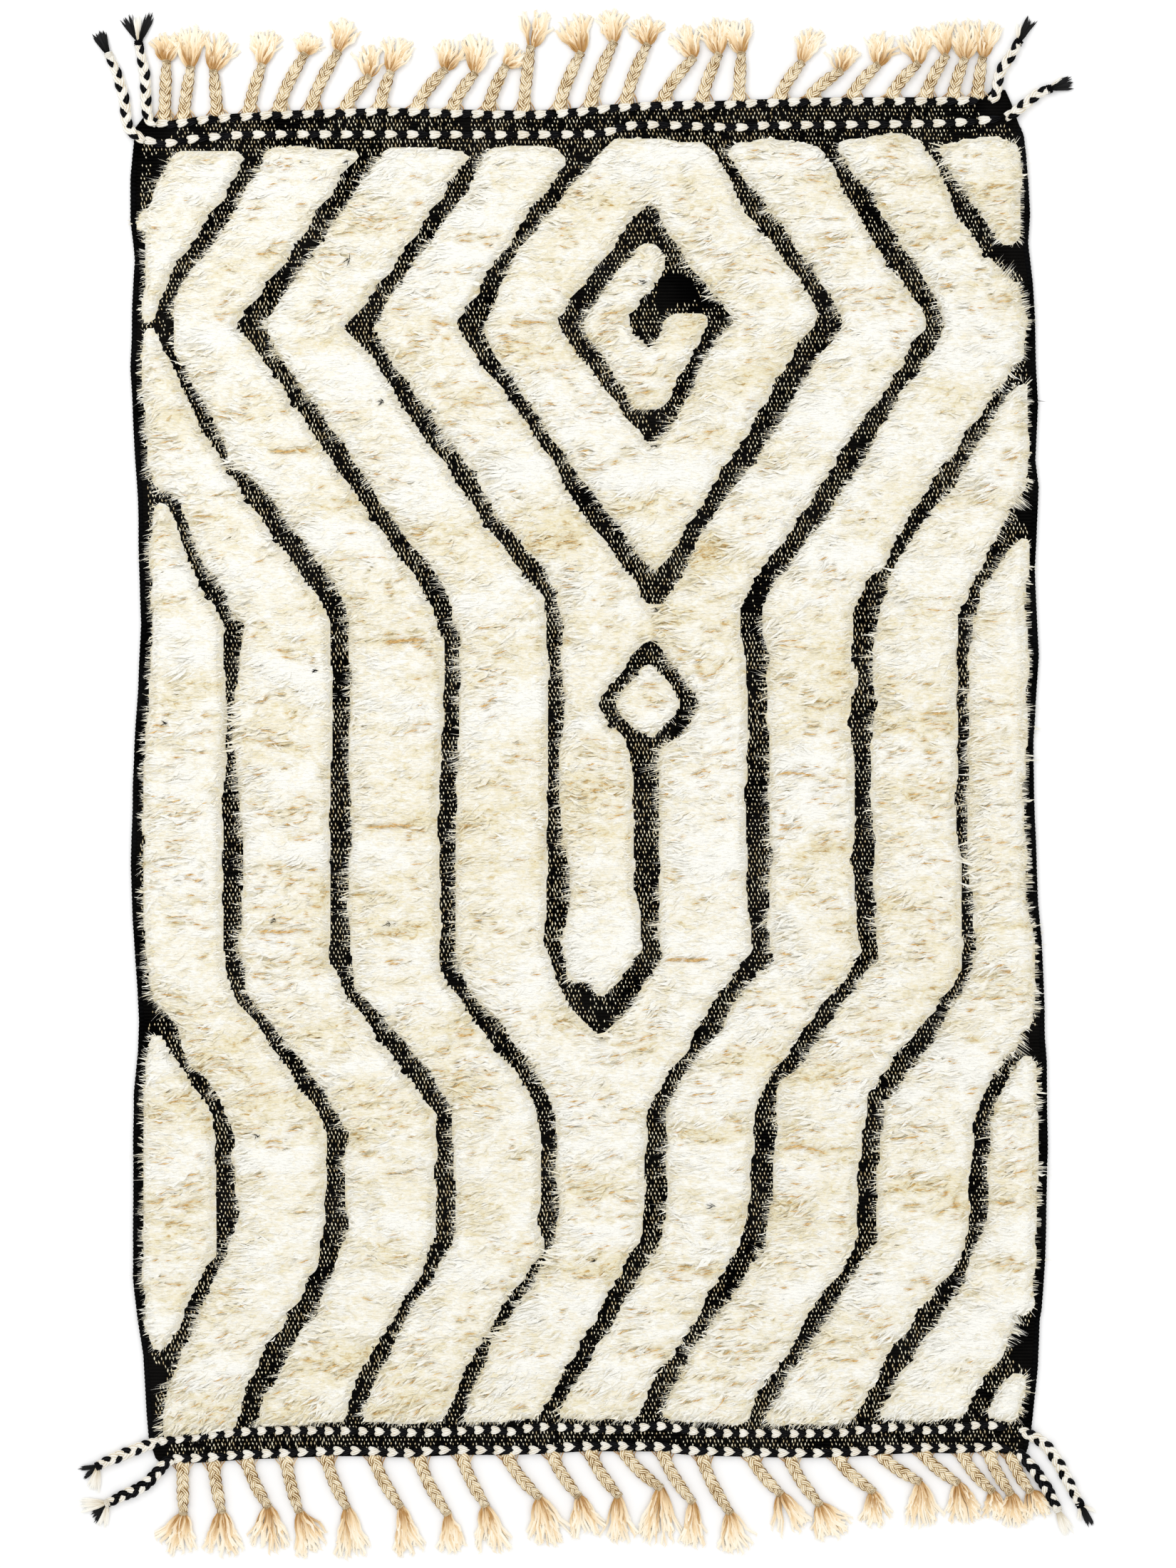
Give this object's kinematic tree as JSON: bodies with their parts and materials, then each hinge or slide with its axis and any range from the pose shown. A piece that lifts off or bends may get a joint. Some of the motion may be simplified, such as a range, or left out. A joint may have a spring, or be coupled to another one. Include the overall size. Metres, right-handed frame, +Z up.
{
  "type": "shag rug",
  "caption": "Flat-woven wool rug with thick cream shag bands, bare zigzag channels, twined end cords, corner tails and braided fringes.",
  "frame": {"origin": "under the middle of the rug, on the floor it lies on", "axes": "+Z up out of the floor; +Y along the rug's length, towards the end with the big diamond; +X across it, to the right as seen from above"},
  "size_m": [1.7075, 2.601, 0.025],
  "materials": {
    "black_wool": "matte black flat weave",
    "cream_wool": "matte wool shag",
    "twined_wool": "matte twined yarn, black and white by turns",
    "warp_yarn": "matte undyed warp yarn",
    "white_yarn": "matte white twining yarn"
  },
  "bodies": {
    "root": {"rug": "cream_wool", "cord_top_outer": "twined_wool", "cord_top_inner": "twined_wool", "cord_bottom_inner": "twined_wool", "cord_bottom_outer": "twined_wool", "fringe_top": "warp_yarn", "fringe_bottom": "warp_yarn"}
  },
  "joints": []
}
